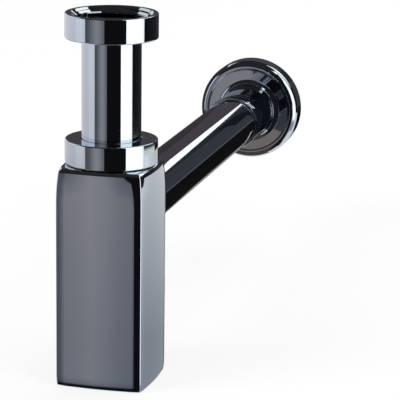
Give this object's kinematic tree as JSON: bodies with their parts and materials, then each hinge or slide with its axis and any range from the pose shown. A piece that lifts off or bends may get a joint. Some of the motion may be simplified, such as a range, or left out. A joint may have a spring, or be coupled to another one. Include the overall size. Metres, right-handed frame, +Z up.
{
  "type": "bottle trap",
  "caption": "Square chromed bottle trap with a telescopic inlet tube, union nuts, a straight outlet tube and a sliding wall rosette.",
  "frame": {"origin": "centre of the inlet thread's mouth, on the inlet axis", "axes": "+Z up, out of the inlet nut; +Y along the outlet tube, towards the wall; +X to the right seen from the front"},
  "size_m": [0.0654, 0.3904, 0.202],
  "materials": {
    "chrome": "polished chrome plate on brass",
    "brass": "machined",
    "black_rubber": "matt",
    "white_plastic": "moulded"
  },
  "bodies": {
    "trap": {"trap_body": "chrome", "base_plate": "chrome", "outlet_ferrule": "brass", "outlet_gasket": "black_rubber", "outlet_tube": "chrome"},
    "seal": {"cone_seal": "black_rubber"},
    "inlet": {"inlet_tube": "chrome", "inlet_washer": "black_rubber"},
    "union": {"inlet_nut": "chrome"},
    "slip": {"slip_ring": "white_plastic"},
    "lock_nut": {"body_nut": "chrome"},
    "plug_seal": {"plug_gasket": "black_rubber"},
    "plug": {"cleaning_plug": "chrome"},
    "grip": {"rosette_ring": "white_plastic"},
    "rosette": {"wall_rosette": "chrome"}
  },
  "joints": [
    {"name": "inlet_swivel", "type": "hinge", "parent": "trap", "child": "seal", "pos_m": [0, 0, -0.0801], "axis": [0, 0, 1], "continuous": true},
    {"name": "inlet_height", "type": "slide", "parent": "seal", "child": "inlet", "axis": [0, 0, 1], "range_m": [-0.012, 0.04]},
    {"name": "inlet_nut_turn", "type": "hinge", "parent": "inlet", "child": "union", "pos_m": [0, 0, 0], "axis": [0, 0, 1], "continuous": true},
    {"name": "body_nut_lift", "type": "slide", "parent": "trap", "child": "slip", "axis": [0, 0, 1], "range_m": [0, 0.0081]},
    {"name": "body_nut_turn", "type": "hinge", "parent": "slip", "child": "lock_nut", "pos_m": [0, 0, -0.0801], "axis": [0, 0, 1], "range_deg": [0, 1260]},
    {"name": "plug_drop", "type": "slide", "parent": "trap", "child": "plug_seal", "axis": [0, 0, -1], "range_m": [0, 0.0045]},
    {"name": "plug_turn", "type": "hinge", "parent": "plug_seal", "child": "plug", "pos_m": [0, 0, -0.2008], "axis": [0, 0, -1], "range_deg": [0, 1080]},
    {"name": "rosette_slide", "type": "slide", "parent": "trap", "child": "grip", "axis": [0, 1, 0], "range_m": [-0.235, 0.035]},
    {"name": "rosette_turn", "type": "hinge", "parent": "grip", "child": "rosette", "pos_m": [0, 0.325, -0.1126], "axis": [0, 1, 0], "continuous": true}
  ],
  "couplings": [
    {"joint": "body_nut_lift", "follows": "body_nut_turn", "m_per_rad": 0.00036749},
    {"joint": "plug_drop", "follows": "plug_turn", "m_per_rad": 0.00023873}
  ]
}
